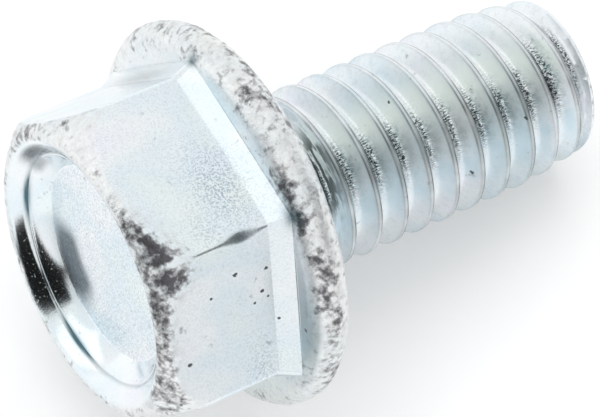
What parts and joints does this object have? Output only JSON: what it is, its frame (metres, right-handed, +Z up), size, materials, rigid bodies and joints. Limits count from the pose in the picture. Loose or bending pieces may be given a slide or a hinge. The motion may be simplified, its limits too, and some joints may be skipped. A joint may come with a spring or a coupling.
{
  "type": "flanged self-tapping screw",
  "caption": "Zinc-plated thread-forming screw with an indented hexagon head, a round flange and a tapered point, lying on its side; clamps sheet or brackets to a plain pilot hole.",
  "frame": {"origin": "on the ground under the middle of the lying screw's box; the screw rests on the edge of its flange and the rim of its point", "axes": "+X runs from the head to the point along the ground, +Z is up, and the screw's own axis falls by about 17 degrees from the head to the point in the XZ plane"},
  "size_m": [0.0192, 0.0128, 0.0123],
  "materials": {
    "zinc_plated_steel": "bright zinc plating with a faint blue passivation, smooth flanks and rough, dark-flecked upset edges"
  },
  "bodies": {
    "root": {"screw": "zinc_plated_steel"}
  },
  "joints": []
}
